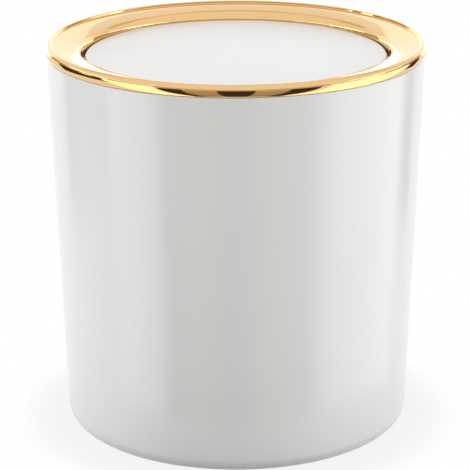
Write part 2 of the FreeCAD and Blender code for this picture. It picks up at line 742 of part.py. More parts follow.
def make_counterweight(name, row):
    """Flat steel bar that keeps the panel level."""
    body = new_body(f"counterweight_{name}")
    face = new_sketch(body, "XY_Plane", f"weight_face_{name}")
    half_x, half_y = "weight_length / 2", "weight_width / 2"
    rectangle(face, f"-{half_x}", f"-{half_y}", half_x, half_y)
    bar = pad(body, face, "weight_thickness")
    upright = [
        f"Edge{number}"
        for number, edge in enumerate(bar.Shape.Edges, start=1)
        if abs(edge.BoundBox.ZLength - value("weight_thickness")) < TOUCH
    ]
    soften(body, "Chamfer", upright, "weight_edge")
    place(body, "0", f"{row} * weight_offset", "cover_top_z")
    return body


def make_cover_screw(name, angle):
    """Countersunk self-tapping screw with a cross recess. Drawn upwards from the head's face."""
    body = new_body(f"cover_screw_{name}")
    profile = new_sketch(body, "XZ_Plane", f"screw_profile_{name}")
    outline(
        profile,
        [
            ("0", "0"),
            ("screw_head_r", "0"),
            ("screw_r", "screw_head_r - screw_r"),
            ("screw_r", "screw_length - screw_tip"),
            ("0", "screw_length"),
        ],
    )
    revolve(body, profile)
    cross = new_sketch(body, "XY_Plane", f"cross_recess_{name}")
    far, near = "recess_span / 2", "recess_slot / 2"
    quarter = [(far, near), (near, near), (near, far)]
    corners = list(quarter)
    corners += [("-" + y, x) for x, y in quarter]
    corners += [("-" + x, "-" + y) for x, y in quarter]
    corners += [(y, "-" + x) for x, y in quarter]
    outline(cross, corners)
    pocket(body, cross, "recess_depth", along_normal=True)
    place(body, *on_circle("screw_circle_r", angle), "panel_bottom_z")
    return body


def make_all():
    parts = [make_bin_body()]
    parts += [make_foot_pad(name, angle) for name, angle in PAD_ANGLES.items()]
    parts += [make_rim_ring(), make_lid_frame()]
    for side, sign in SIDES.items():
        parts += [make_pivot_pin(side, sign), make_pivot_bush(side, sign)]
    parts += [make_swing_panel(), make_underside_cover()]
    parts += [make_counterweight(name, row) for name, row in ROWS.items()]
    parts += [make_cover_screw(name, angle) for name, angle in SCREW_ANGLES.items()]
    return parts


def check(parts):
    """Stops before anything is written if an object failed or a piece isn't one sound solid."""
    for thing in doc.Objects:
        if "Invalid" in thing.State or "Error" in thing.State:
            raise RuntimeError(f"{thing.Label} failed: {thing.State}")
    for body in parts:
        shape = body.Shape
        if shape.isNull() or not shape.isValid() or len(shape.Solids) != 1:
            raise RuntimeError(f"{body.Label} is not one valid solid")


def write(parts):
    os.makedirs("parts", exist_ok=True)
    for body in parts:
        body.Shape.exportStep(f"parts/{body.Label}.step")
        print(f"{body.Label}: {body.Shape.Volume / 1000:.2f} cm3")


made = make_all()
check(made)
write(made)
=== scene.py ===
import json
import math

import bmesh
import bpy
import numpy as np
from bpy.props import FloatProperty, FloatVectorProperty, IntProperty, PointerProperty
from bpy.types import Operator, Panel, PropertyGroup
from mathutils import Matrix, Vector


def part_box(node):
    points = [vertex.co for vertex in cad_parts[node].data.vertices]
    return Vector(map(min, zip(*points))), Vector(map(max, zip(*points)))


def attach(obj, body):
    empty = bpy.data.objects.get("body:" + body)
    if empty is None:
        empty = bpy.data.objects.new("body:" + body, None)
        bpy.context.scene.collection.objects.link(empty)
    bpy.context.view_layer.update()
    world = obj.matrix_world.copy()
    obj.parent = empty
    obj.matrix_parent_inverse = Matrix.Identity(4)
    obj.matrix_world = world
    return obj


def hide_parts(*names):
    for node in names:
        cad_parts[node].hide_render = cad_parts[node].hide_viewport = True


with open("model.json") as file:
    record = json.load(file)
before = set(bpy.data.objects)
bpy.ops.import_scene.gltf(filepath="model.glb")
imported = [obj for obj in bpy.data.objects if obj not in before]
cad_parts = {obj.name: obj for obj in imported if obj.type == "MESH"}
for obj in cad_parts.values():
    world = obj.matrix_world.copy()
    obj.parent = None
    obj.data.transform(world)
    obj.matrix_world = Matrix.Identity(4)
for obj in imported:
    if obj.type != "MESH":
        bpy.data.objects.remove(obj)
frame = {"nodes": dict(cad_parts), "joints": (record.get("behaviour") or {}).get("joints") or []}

bl_info = {
    "name": "Desktop trash can",
    "version": (1, 0, 0),
    "blender": (4, 5, 0),
    "location": "3D View > Sidebar > Trash can",
    "description": "Dresses a desktop trash can: glossy tub, plated ring, swing panel and studio",
    "category": "Add Mesh",
}

bpy.context.view_layer.update()
MM = 0.001

# Places that the frame gives, in metres
TUB_LOW, TUB_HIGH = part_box("bin_body")
HOOK_TIP_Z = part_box("rim_ring")[0].z
SEAT_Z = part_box("lid_frame")[1].z
PANEL_LOW, PANEL_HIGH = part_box("swing_panel")
HINGE = next(joint for joint in frame["joints"] if joint["name"] == "lid_swing")
AXIS_Z = HINGE["pos_m"][2]

# How finely the surfaces are drawn
TURN_STEPS = 256  # vertices round the tub, the ring and the panel
SMALL_TURN_STEPS = 48  # vertices round the pads, bosses and stubs
ARC_STEP = math.radians(5)
ARC_STEPS_LEAST = 4
LINE_STEP = 3.0 * MM
LINE_STEPS_LEAST = 6
LINE_STEPS_MOST = 48
WELD = 1e-7  # metres between points that become one
SHARP_ANGLE = math.radians(35)
CARD_STEP = 2.0  # degrees between the vertices of a card


def linear(hex_colour):
    """An sRGB hex colour as linear red, green, blue and alpha."""
    srgb = [int(hex_colour[i : i + 2], 16) / 255 for i in (0, 2, 4)]
    rgb = [c / 12.92 if c <= 0.04045 else ((c + 0.055) / 1.055) ** 2.4 for c in srgb]
    return (*rgb, 1.0)


def length_property(name, description, metres):
    return FloatProperty(name=name, description=description, default=metres, unit="LENGTH", precision=5)


def angle_property(name, description, degrees):
    return FloatProperty(
        name=name, description=description, default=math.radians(degrees), subtype="ANGLE"
    )


def number_property(name, description, number):
    return FloatProperty(name=name, description=description, default=number)


def colour_property(name, description, hex_colour):
    return FloatVectorProperty(
        name=name, description=description, default=linear(hex_colour), size=4, subtype="COLOR"
    )


# Sizes and colours that a user would change


class TubSizes(PropertyGroup):
    top_radius: length_property("Top radius", "Wall line at the height of the rim", 78.0 * MM)
    base_radius: length_property("Base radius", "Where the wall line meets the base", 72.25 * MM)
    wall: length_property("Wall", "Wall thickness", 2.2 * MM)
    floor: length_property("Floor", "Floor thickness", 2.6 * MM)
    base_round: length_property("Base round", "Outer rounding at the base", 6.5 * MM)
    inner_round: length_property("Inner round", "Inner rounding at the floor", 4.5 * MM)
    recess: length_property("Recess", "Depth of the hollow under the floor", 1.4 * MM)
    land: length_property("Land", "Width of the standing land, rounding included", 19.0 * MM)
    rebate: length_property("Rebate", "How far the rim steps in behind the ring", 1.1 * MM)
    rim_round: length_property("Rim round", "Rounding of the rim's edges and of its step", 0.35 * MM)


class PadSizes(PropertyGroup):
    radius: length_property("Radius", "Rubber pad", 5.0 * MM)
    height: length_property("Height", "Whole pad", 2.0 * MM)
    fit_gap: length_property("Fit gap", "Pad to its seat, all round", 0.15 * MM)
    edge: length_property("Edge", "Rounding of the lower edge", 0.5 * MM)
    dish: length_property("Dish", "Depth of the pad's hollow face", 0.15 * MM)


class RingSizes(PropertyGroup):
    overhang: length_property("Overhang", "Widest point beyond the tub's wall", 0.7 * MM)
    fit_gap: length_property("Fit gap", "Hanging edge to the tub", 0.3 * MM)
    drop: length_property("Drop", "How far the hanging edge covers the rim", 0.7 * MM)
    face: length_property("Face", "Hanging edge up to the widest point", 2.5 * MM)
    bead: length_property("Bead", "Outer side of the rounded crest", 2.2 * MM)
    bead_inside: length_property("Bead inside", "Inner side of the rounded crest", 0.5 * MM)
    bead_slope: angle_property("Bead slope", "Steepness of the crest's inner wall", 80)
    bead_wall: length_property("Bead wall", "Length of the crest's inner wall", 0.45 * MM)
    valley: length_property("Valley", "Hollow between crest and band", 0.3 * MM)
    band_slope: angle_property("Band slope", "Fall of the crowned band beside the crest", 3)
    lip_slope: angle_property("Lip slope", "Fall of the crowned band beside the lip", 14)
    width: length_property("Width", "Widest point to the mouth", 15.6 * MM)
    lip_round: length_property("Lip round", "Where the band rolls into the mouth", 4.0 * MM)
    lip_wall: length_property("Lip wall", "Thickness of the lip", 1.5 * MM)
    lip_cover: length_property("Lip cover", "Lip below the panel's top", 1.5 * MM)
    shell: length_property("Shell", "Thickness of the band", 1.6 * MM)
    seat_radius: length_property("Seat radius", "Inner edge of the seat", 74.2 * MM)
    hook_radius: length_property("Hook radius", "Inner face of a snap hook", 68.88 * MM)
    hook_width: length_property("Hook width", "Snap hook", 8.0 * MM)
    hook_thickness: length_property("Hook thickness", "Snap hook", 1.2 * MM)
    hook_nose: length_property("Hook nose", "How far a nose catches", 0.8 * MM)
    hook_nose_height: length_property("Nose height", "Snap hook's nose", 1.6 * MM)


class PanelSizes(PropertyGroup):
    gap: length_property("Gap", "Panel to the ring's lip", 0.9 * MM)
    plate: length_property("Plate", "Top plate", 2.0 * MM)
    draft: length_property("Draft", "Skirt's inset at its lower edge", 0.3 * MM)
    skirt: length_property("Skirt", "Skirt thickness", 1.6 * MM)
    edge: length_property("Edge", "Rounding of the top edge", 0.7 * MM)
    lower_edge: length_property("Lower edge", "Rounding of the skirt's lower edge", 0.4 * MM)
    boss_radius: length_property("Boss radius", "Boss round the bush", 3.84 * MM)
    boss_bore: length_property("Boss bore", "Bore for the bush", 2.26 * MM)
    boss_inner: length_property("Boss inner", "Inner end of the boss", 54.5 * MM)
    boss_outer: length_property("Boss outer", "Outer end of the boss", 62.3 * MM)
    stub_radius: length_property("Stub radius", "Stop stub", 0.9 * MM)
    stub_arm: length_property("Stub arm", "Axis to the stop stub", 4.1 * MM)


class Colours(PropertyGroup):
    tub: colour_property("Tub", "White ABS", "F1F1EF")
    panel: colour_property("Panel", "White ABS, soft gloss", "F2F2F2")
    frame: colour_property("Frame", "White ABS, satin", "E9E9E6")
    gold: colour_property("Gold", "Gold plate", "EFC78E")
    steel: colour_property("Steel", "Turned steel", "C9C9CB")
    zinc: colour_property("Zinc", "Zinc plate", "D0D3D6")
    acetal: colour_property("Acetal", "Natural acetal", "EAE7DC")
    rubber: colour_property("Rubber", "Black rubber", "2A2A2B")
    floor: colour_property("Floor", "Pale floor", "A2A2A0")
    flag: colour_property("Flag", "Dark cloth", "3A2E26")
    buff: colour_property("Buff", "Buff cloth", "D9C8AE")
    straw: colour_property("Straw", "Straw cloth", "EACF96")


class StageSettings(PropertyGroup):
    lens: FloatProperty(name="Lens", description="Focal length in mm", default=173.0, unit="CAMERA")
    back_off: length_property("Back off", "Camera in front of the bin's axis", 0.911)
    rise: length_property("Rise", "Camera above the floor", 0.3747)
    sideways: length_property("Sideways", "Camera to the right of the axis", -0.00064)
    pitch: angle_property("Pitch", "Camera looks down by", 17.97)
    roll: angle_property("Roll", "Camera's turn about its own line of sight", -0.19)
    floor_radius: length_property("Floor radius", "Round sweep that the bin stands on", 0.12)
    white_from: length_property("White from", "Where the sweep is white to the eye", 0.1)
    near_white: number_property("Near white", "Share of that white beside the bin", 0.88)
    floor_rings: IntProperty(name="Floor rings", description="Rings of the floor's grid", default=24)
    card_distance: length_property("Card distance", "Cards from the bin's axis", 1.2)
    card_low: length_property("Card low", "Lower edge of the cards", -3.0)
    front_high: length_property("Front high", "Upper edge of the flags in front", 0.12)
    side_high: length_property("Side high", "Upper edge of the flags at the sides", 0.48)
    side_drop: length_property("Side drop", "How far the side flags hang below the table", 0.3)
    lit_high: length_property("Lit high", "Upper edge of the lit panels", 0.65)
    bright_high: length_property("Bright high", "Upper edge of the brightest panel", 0.33)
    strip_distance: length_property("Strip distance", "Buff strip from the bin's axis", 1.15)
    strip_low: length_property("Strip low", "Lower edge of the buff strip", 0.24)
    strip_high: length_property("Strip high", "Upper edge of the buff strip", 0.5)
    beam_low: length_property("Beam low", "Lower edge of the beam behind the bin", 1.07)
    beam_depth: length_property("Beam depth", "Height of the beam", 0.5)
    beam_glow: number_property("Beam glow", "Light through the beam's cloth", 0.3)
    low_glow: number_property("Low glow", "Brightness low behind the bin", 1.8)
    glow: number_property("Glow", "Brightness higher behind the bin", 1.0)
    side_glow: number_property("Side glow", "Brightness of the side panels", 1.5)
    fill: number_property("Fill", "Brightness of the studio on matt things", 0.53)
    left_lamp: number_property("Left lamp", "Brightness of the left soft box", 2.6)
    right_lamp: number_property("Right lamp", "Brightness of the right soft box", 2.3)
    front_lamp: number_property("Front lamp", "Brightness of the front fill", 1.05)
    top_lamp: number_property("Top lamp", "Brightness of the soft box above", 1.4)


class TrashCanSettings(PropertyGroup):
    tub: PointerProperty(type=TubSizes)
    pad: PointerProperty(type=PadSizes)
    ring: PointerProperty(type=RingSizes)
    panel: PointerProperty(type=PanelSizes)
    colours: PointerProperty(type=Colours)
    stage: PointerProperty(type=StageSettings)


# Profiles: outlines in two coordinates, walked anticlockwise with the material on the left


def straight(start, end):
    """Points on a line, t = (1 - cos(pi k / n)) / 2, so that they crowd towards both ends."""
    count = int(np.ceil(np.linalg.norm(end - start) / LINE_STEP))
    count = int(np.clip(count, LINE_STEPS_LEAST, LINE_STEPS_MOST))
    share = (1 - np.cos(np.pi * np.arange(1, count + 1) / count)) / 2
    return start + share[:, None] * (end - start)


def arc(start, end, radius, turn):
    """Points at even angles on the short arc from start to end that bends left (turn 1) or right (-1)."""
    chord = end - start
    half = np.linalg.norm(chord) / 2
    left = np.array([-chord[1], chord[0]]) / (2 * half)
    centre = (start + end) / 2 + turn * left * math.sqrt(max(radius**2 - half**2, 0.0))
    sweep = turn * 2 * math.asin(min(half / radius, 1.0))
    count = max(int(np.ceil(abs(sweep) / ARC_STEP)), ARC_STEPS_LEAST)
    first = np.arctan2(*(start - centre)[::-1])
    angle = first + sweep * np.arange(1, count + 1) / count
    return centre + radius * np.stack([np.cos(angle), np.sin(angle)], axis=1)


def softened(before, corner, after, radius):
    """The two ends of the arc that rounds a corner between straight lines, and the way it bends."""
    into = (corner - before) / np.linalg.norm(corner - before)
    out = (after - corner) / np.linalg.norm(after - corner)
    bend = math.atan2(into[0] * out[1] - into[1] * out[0], into @ out)
    reach = radius * math.tan(abs(bend) / 2)
    return corner - into * reach, corner + out * reach, 1 if bend > 0 else -1


def trace(corners, closed=True):
    """Points along an outline. A corner is (x, y) for a straight line to it, (x, y, radius) for a line
    and a rounded corner, and (x, y, radius, turn) for an arc to it. The outline starts at its first
    corner, and a closed one goes back to it."""
    spots = [np.array(corner[:2], float) for corner in corners]
    here = spots[0]
    points = [here[None]]
    order = range(1, len(corners) + (1 if closed else 0))
    for i in order:
        corner = corners[i % len(corners)]
        spot = spots[i % len(corners)]
        if len(corner) == 4:
            points.append(arc(here, spot, corner[2], corner[3]))
            here = spot
        elif len(corner) == 3:
            start, end, turn = softened(here, spot, spots[(i + 1) % len(corners)], corner[2])
            points += [straight(here, start), arc(start, end, corner[2], turn)]
            here = end
        else:
            points.append(straight(here, spot))
            here = spot
    traced = np.concatenate(points)
    return traced[:-1] if closed else traced


# Surfaces: whole arrays of vertices on a grid, and the quads between them


def quads(rows, columns, first=0, wrap_rows=False, wrap_columns=True):
    """The quads of a grid: each joins a vertex to the next column, and both to the next row."""
    i = np.arange(rows if wrap_rows else rows - 1)[:, None]
    j = np.arange(columns if wrap_columns else columns - 1)[None]
    low, high = i * columns, (i + 1) % rows * columns
    beside = (j + 1) % columns
    return first + np.stack([low + j, low + beside, high + beside, high + j], axis=-1).reshape(-1, 4)


def lathe(profile, steps=TURN_STEPS, closed=True):
    """Carries a profile of (radius, height) round Z: a point at angle a is (r cos a, r sin a, z)."""
    angle = 2 * np.pi * np.arange(steps) / steps
    radius, height = profile[:, :1], profile[:, 1:]
    level = np.broadcast_to(height, (len(profile), steps))
    grid = np.stack([radius * np.cos(angle), radius * np.sin(angle), level], axis=-1)
    return grid.reshape(-1, 3), quads(len(profile), steps, wrap_rows=closed)


def patch(low_edge, high_edge, rows, wrap):
    """Blends one edge into another: row k of n is low + (high - low) k / n."""
    share = np.linspace(0, 1, rows + 1)[:, None, None]
    grid = low_edge + share * (high_edge - low_edge)
    return grid.reshape(-1, 3), quads(rows + 1, len(low_edge), wrap_columns=wrap)


def extrude(profile, middle, width):
    """Carries a closed profile of (x, z) along Y by its width. Either end is a fan from a middle that
    sees the whole outline, so the rows are middle, outline, outline, middle."""
    fan = np.broadcast_to(middle, profile.shape)
    section = np.stack([fan, profile, profile, fan])
    ends = np.array([-width, -width, width, width])[:, None] / 2
    level = np.broadcast_to(ends, section.shape[:2])
    rows = np.stack([section[..., 0], level, section[..., 1]], axis=-1)
    return rows.reshape(-1, 3), quads(len(rows), len(profile))


def moved(shell, matrix):
    """A shell turned and shifted by a matrix."""
    vertices, faces = shell
    matrix = np.array(matrix)
    return vertices @ matrix[:3, :3].T + matrix[:3, 3], faces


def join_shells(name, shells, material):
    """Joins shells into one mesh object, with seams and poles welded."""
    mesh = bpy.data.meshes.new(name)
    offsets = np.cumsum([0] + [len(vertices) for vertices, _ in shells])
    vertices = np.concatenate([vertices for vertices, _ in shells])
    faces = np.concatenate([faces + offset for (_, faces), offset in zip(shells, offsets)])
    mesh.from_pydata(vertices, [], faces)
    welded = bmesh.new()
    welded.from_mesh(mesh)
    bmesh.ops.remove_doubles(welded, verts=welded.verts, dist=WELD)
    bmesh.ops.dissolve_degenerate(welded, edges=welded.edges, dist=WELD)
    welded.to_mesh(mesh)
    welded.free()
    mesh.shade_smooth()
    mesh.set_sharp_from_angle(angle=SHARP_ANGLE)
    mesh.materials.append(material)
    piece = bpy.data.objects.new(name, mesh)
    bpy.context.scene.collection.objects.link(piece)
    return piece


def make_piece(name, shells, material, body, nodes):
    """A piece that rides on a body in place of nodes."""
    piece = join_shells(name, shells, material)
    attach(piece, body)
    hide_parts(*nodes)


def dress(nodes, material):
    """Gives carried-over nodes a finish of their own."""
    for name in nodes:
        slot = frame["nodes"][name].material_slots[0]
        slot.link = "OBJECT"
        slot.material = material


# Materials


def add_node(tree, kind, settings=(), inputs=()):
    """Adds a node with its settings, and fills its inputs with values or links."""
    added = tree.nodes.new(kind)
    for name, setting in dict(settings).items():
        setattr(added, name, setting)
    for key, given in dict(inputs).items():
        if isinstance(given, bpy.types.NodeSocket):
            tree.links.new(given, added.inputs[key])
        else:
            added.inputs[key].default_value = given
    return added


def empty_tree(owner):
    """The node tree of a material or a world, with nothing in it."""
    owner.use_nodes = True
    owner.node_tree.nodes.clear()
    return owner.node_tree


# Textures, each with the output that a pattern reads
NOISE = ("ShaderNodeTexNoise", "Fac")
WAVE = ("ShaderNodeTexWave", "Fac")
CELLS = ("ShaderNodeTexVoronoi", "Color")
WAVE_PHASE = 20  # radians that a wave texture goes through in one unit of its scaled place
PATTERN_LOW, PATTERN_HIGH = 0.3, 0.7  # between these a pattern goes from one end of its range to the other

ABS_IOR = 1.53
HAZE_LEAST, HAZE_MOST = 0.8, 1.3  # a glossy moulding's roughness where it is clearest and haziest
TUB_ROUGHNESS = 0.18
TUB_WAVES = 4 * MM  # size of the waves that the moulding leaves in the gloss
PANEL_ROUGHNESS = 0.22
PANEL_WAVES = 3 * MM


def finish(name, colour, tone, darkest, gloss, roughness, relief, depth, **shader):
    """A procedural finish. Tone, gloss and relief each follow a pattern, given as a texture and its
    inputs. Tone takes the colour down to its darkest share, gloss runs from the least to the most
    roughness, and relief has its depth."""
    material = bpy.data.materials.new(name)
    tree = empty_tree(material)
    place = add_node(tree, "ShaderNodeTexCoord").outputs["Object"]
    patterns = []
    for (kind, output), inputs in (tone, gloss, relief):
        texture = add_node(tree, kind, inputs={"Vector": place, **inputs})
        patterns.append(texture.outputs[output])
    ranged = []
    for pattern, (low, high) in zip(patterns, ((darkest, 1.0), roughness)):
        ends = {"From Min": PATTERN_LOW, "From Max": PATTERN_HIGH, "To Min": low, "To Max": high}
        mapped = add_node(tree, "ShaderNodeMapRange", inputs={"Value": pattern, **ends})
        ranged.append(mapped.outputs["Result"])
    tint = add_node(tree, "ShaderNodeHueSaturation", inputs={"Value": ranged[0], "Color": colour})
    bump = add_node(tree, "ShaderNodeBump", inputs={"Height": patterns[2], "Distance": depth})
    surface = add_node(
        tree,
        "ShaderNodeBsdfPrincipled",
        inputs={
            "Base Color": tint.outputs["Color"],
            "Roughness": ranged[1],
            "Normal": bump.outputs["Normal"],
            **shader,
        },
    )
    add_node(tree, "ShaderNodeOutputMaterial", inputs={"Surface": surface.outputs["BSDF"]})
    return material


def moulded_gloss_abs(name, colour, roughness, waves):
    """Injection-moulded ABS from a polished mould: a deep even white, a clear gloss with the faint
    waviness of the moulding, and handling haze that only shows in the reflections."""
    return finish(
        name,
        colour,
        tone=(NOISE, {"Scale": 1 / (60 * MM)}),
        darkest=0.985,
        gloss=(NOISE, {"Scale": 1 / (35 * MM), "Detail": 4.0}),
        roughness=(roughness * HAZE_LEAST, roughness * HAZE_MOST),
        relief=(NOISE, {"Scale": 1 / waves}),
        depth=0.004 * MM,
        IOR=ABS_IOR,
    )


def gold_plated_abs(colour):
    """Bright gold electroplate on polished ABS: a mirror with a warm tint, softened a little where
    it was handled, over the plastic's faint waviness."""
    return finish(
        "gold_electroplated_abs",
        colour,
        tone=(NOISE, {"Scale": 1 / (30 * MM)}),
        darkest=0.96,
        gloss=(NOISE, {"Scale": 1 / (12 * MM), "Detail": 5.0}),
        roughness=(0.03, 0.08),
        relief=(NOISE, {"Scale": 1 / (6 * MM)}),
        depth=0.006 * MM,
        Metallic=1.0,
    )


def satin_abs(colour):
    """Moulded ABS from a spark-eroded mould: a fine even grain that breaks the gloss. The grain is
    drawn at 0.5 mm, coarser than the real 0.1 mm, so that it shows."""
    grain = (NOISE, {"Scale": 1 / (0.5 * MM)})
    return finish(
        "satin_moulded_abs",
        colour,
        tone=(NOISE, {"Scale": 1 / (40 * MM)}),
        darkest=0.98,
        gloss=grain,
        roughness=(0.38, 0.5),
        relief=grain,
        depth=0.01 * MM,
        IOR=ABS_IOR,
    )


def turned_steel(colour):
    """Bright steel turned along X: rings round the pin that stretch its highlights. They are drawn
    0.592 mm apart, coarser than a real pin's, so that they show."""
    rings = (WAVE, {"Scale": 2 * math.pi / (WAVE_PHASE * 0.592 * MM), "Distortion": 0.4})
    return finish(
        "turned_bright_steel",
        colour,
        tone=rings,
        darkest=0.92,
        gloss=rings,
        roughness=(0.22, 0.34),
        relief=rings,
        depth=0.003 * MM,
        Metallic=1.0,
    )


def zinc_plated_steel(colour):
    """Bright zinc on steel: crystal patches of 1.2 mm that differ a little in tone and gloss."""
    crystal_size = {"Scale": 1 / (1.2 * MM)}
    return finish(
        "zinc_plated_steel",
        colour,
        tone=(CELLS, crystal_size),
        darkest=0.9,
        gloss=(CELLS, crystal_size),
        roughness=(0.24, 0.4),
        relief=(NOISE, crystal_size),
        depth=0.003 * MM,
        Metallic=1.0,
    )


def natural_acetal(colour):
    """Moulded natural acetal: milky and waxy, with a soft sheen."""
    clouds = (NOISE, {"Scale": 1 / (2 * MM)})
    return finish(
        "natural_moulded_acetal",
        colour,
        tone=clouds,
        darkest=0.95,
        gloss=clouds,
        roughness=(0.32, 0.45),
        relief=(NOISE, {"Scale": 1 / MM}),
        depth=0.003 * MM,
        IOR=1.48,
    )


def moulded_rubber(colour):
    """Moulded black rubber: matt, with a fine tooth and a bloom in patches."""
    tooth = (NOISE, {"Scale": 1 / (0.3 * MM)})
    return finish(
        "moulded_black_rubber",
        colour,
        tone=(NOISE, {"Scale": 1 / (3 * MM)}),
        darkest=0.75,
        gloss=tooth,
        roughness=(0.75, 0.92),
        relief=tooth,
        depth=0.02 * MM,
        IOR=1.52,
    )


# Pieces

PAD_NODES = ["foot_pad_back_right", "foot_pad_back_left", "foot_pad_front_left", "foot_pad_front_right"]
PAD_SEAT_STEPS = 6  # columns of the turned grid on either side of a pad's middle
QUARTER = TURN_STEPS // len(PAD_NODES)  # columns from one pad to the next
LAND_ROWS = 8
SEAT_ROWS = 2  # of a seat's wall, and of its roof
HOOK_COUNT = 4


def pad_circle_radius(sizes):
    """Pads sit in the middle of the flat land."""
    return sizes.base_radius - (sizes.land + sizes.base_round) / 2


def ring_points(radius, height, columns):
    """Points of the turned grid: column k of n is at angle a = 2 pi k / n, and at (r cos a, r sin a, z)."""
    angle = 2 * np.pi * np.asarray(columns) / TURN_STEPS
    level = np.full(angle.shape, height)
    return np.stack([radius * np.cos(angle), radius * np.sin(angle), level], axis=-1)


def land_shells(inner, outer, sizes, pad, base_z):
    """The flat land, facing down. Round each pad a patch blends the seat's circle into the outline of
    a short stretch of land, and plain stretches join these. Each seat has a wall and a flat roof."""
    shells = []
    roof_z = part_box(PAD_NODES[0])[0].z + pad.height
    up = np.array([0, 0, roof_z - base_z])
    side = np.linspace(inner, outer, LAND_ROWS + 1)
    for middle in range(QUARTER // 2, TURN_STEPS, QUARTER):
        first, last = middle - PAD_SEAT_STEPS, middle + PAD_SEAT_STEPS
        forth = np.arange(first, last)
        back = forth[::-1] + 1
        angles = 2 * np.pi * np.array([first, last]) / TURN_STEPS
        rays = np.stack([np.cos(angles), np.sin(angles), [0, 0]], axis=-1)
        out_along_last = side[:-1, None] * rays[1] + [0, 0, base_z]
        in_along_first = side[:0:-1, None] * rays[0] + [0, 0, base_z]
        outline = np.concatenate(
            [
                ring_points(inner, base_z, forth),
                out_along_last,
                ring_points(outer, base_z, back),
                in_along_first,
            ]
        )
        centre = ring_points(pad_circle_radius(sizes), base_z, [middle])[0]
        spoke = outline - centre
        spoke /= np.linalg.norm(spoke, axis=1, keepdims=True)
        seat = centre + spoke * (pad.radius + pad.fit_gap)
        shells.append(patch(outline, seat, LAND_ROWS, wrap=True))
        shells.append(patch(seat, seat + up, SEAT_ROWS, wrap=True))
        shells.append(patch(seat + up, np.broadcast_to(centre + up, seat.shape), SEAT_ROWS, wrap=True))
        rest = np.arange(last, first + QUARTER + 1)
        low, high = ring_points(outer, base_z, rest), ring_points(inner, base_z, rest)
        shells.append(patch(high[::-1], low[::-1], LAND_ROWS, wrap=False))
    return shells


def tub_shells(sizes, pad, ring):
    """The tub's wall and floor, turned about Z, with the land under it."""
    base_z, rim_z = TUB_LOW.z, TUB_HIGH.z
    slope = (sizes.top_radius - sizes.base_radius) / (rim_z - base_z)
    inset = sizes.wall * math.hypot(1, slope)
    lean = math.atan(slope)
    hollow_z = base_z + sizes.recess
    floor_z = hollow_z + sizes.floor
    step_z = rim_z - ring.drop - ring.fit_gap
    rim_radius = sizes.top_radius - sizes.rebate
    land_inner = sizes.base_radius - sizes.land
    land_outer = sizes.base_radius - sizes.base_round * math.tan(math.pi / 4 - lean / 2)
    bore_floor = sizes.top_radius - inset - (rim_z - floor_z) * slope
    under = [(0, hollow_z), (land_inner, hollow_z), (land_inner, base_z)]
    wall = [
        (land_outer, base_z),
        (sizes.base_radius, base_z, sizes.base_round),
        (sizes.top_radius - (rim_z - step_z) * slope, step_z, sizes.rim_round),
        (rim_radius, step_z),
        (rim_radius, rim_z, sizes.rim_round),
        (sizes.top_radius - inset, rim_z, sizes.rim_round),
        (bore_floor, floor_z, sizes.inner_round),
        (0, floor_z),
    ]
    shells = [lathe(trace(outline, closed=False), closed=False) for outline in (under, wall)]
    return shells + land_shells(land_inner, land_outer, sizes, pad, base_z)


def pad_shell(pad):
    """A pad turned about its own axis: a slightly hollow face, a rounded lower edge, a flat top."""
    profile = [
        (0, pad.dish),
        (pad.radius - 2 * pad.edge, 0),
        (pad.radius, 0, pad.edge),
        (pad.radius, pad.height),
        (0, pad.height),
    ]
    return lathe(trace(profile, closed=False), SMALL_TURN_STEPS, closed=False)


def ring_profile(ring, tub):
    """The plated shell: hanging edge, crest with a low steep wall inside it, narrow valley, crowned band,
    rolled lip and underside. An arc of radius r between slopes s and t runs inwards by r (sin t - sin s)
    and falls by r (cos s - cos t)."""
    rim_z = TUB_HIGH.z
    slope = (tub.top_radius - tub.base_radius) / (rim_z - TUB_LOW.z)
    edge_z = rim_z - ring.drop
    edge_radius = tub.top_radius - (ring.drop + ring.fit_gap) * slope
    bore = tub.top_radius - tub.rebate + ring.fit_gap
    widest = tub.top_radius + ring.overhang
    wide_z = edge_z + ring.face
    run = widest - edge_radius
    face_arc = (run**2 + ring.face**2) / (2 * run)
    crest = (widest - ring.bead, wide_z + ring.bead)
    steep, shallow = ring.bead_slope, ring.band_slope
    foot_r = crest[0] - ring.bead_inside * math.sin(steep)
    foot_z = crest[1] - ring.bead_inside * (1 - math.cos(steep))
    wall_r = foot_r - ring.bead_wall * math.cos(steep)
    wall_z = foot_z - ring.bead_wall * math.sin(steep)
    valley_r = wall_r - ring.valley * (math.sin(steep) - math.sin(shallow))
    valley_z = wall_z - ring.valley * (math.cos(shallow) - math.cos(steep))
    lip = widest - ring.width
    lip_start_r = lip + ring.lip_round * (1 - math.sin(ring.lip_slope))
    band_arc = (valley_r - lip_start_r) / (math.sin(ring.lip_slope) - math.sin(shallow))
    lip_start_z = valley_z - band_arc * (math.cos(shallow) - math.cos(ring.lip_slope))
    lip_end_z = lip_start_z - ring.lip_round * math.cos(ring.lip_slope)
    lip_bottom = PANEL_HIGH.z - ring.lip_cover
    under_z = lip_start_z - ring.shell
    return [
        (bore, edge_z),
        (edge_radius, edge_z),
        (widest, wide_z, face_arc, 1),
        (*crest, ring.bead, 1),
        (foot_r, foot_z, ring.bead_inside, 1),
        (wall_r, wall_z),
        (valley_r, valley_z, ring.valley, -1),
        (lip_start_r, lip_start_z, band_arc, 1),
        (lip, lip_end_z, ring.lip_round, 1),
        (lip, lip_bottom),
        (lip + ring.lip_wall, lip_bottom),
        (lip + ring.lip_wall, under_z),
        (ring.seat_radius, SEAT_Z),
        (bore, SEAT_Z),
    ]


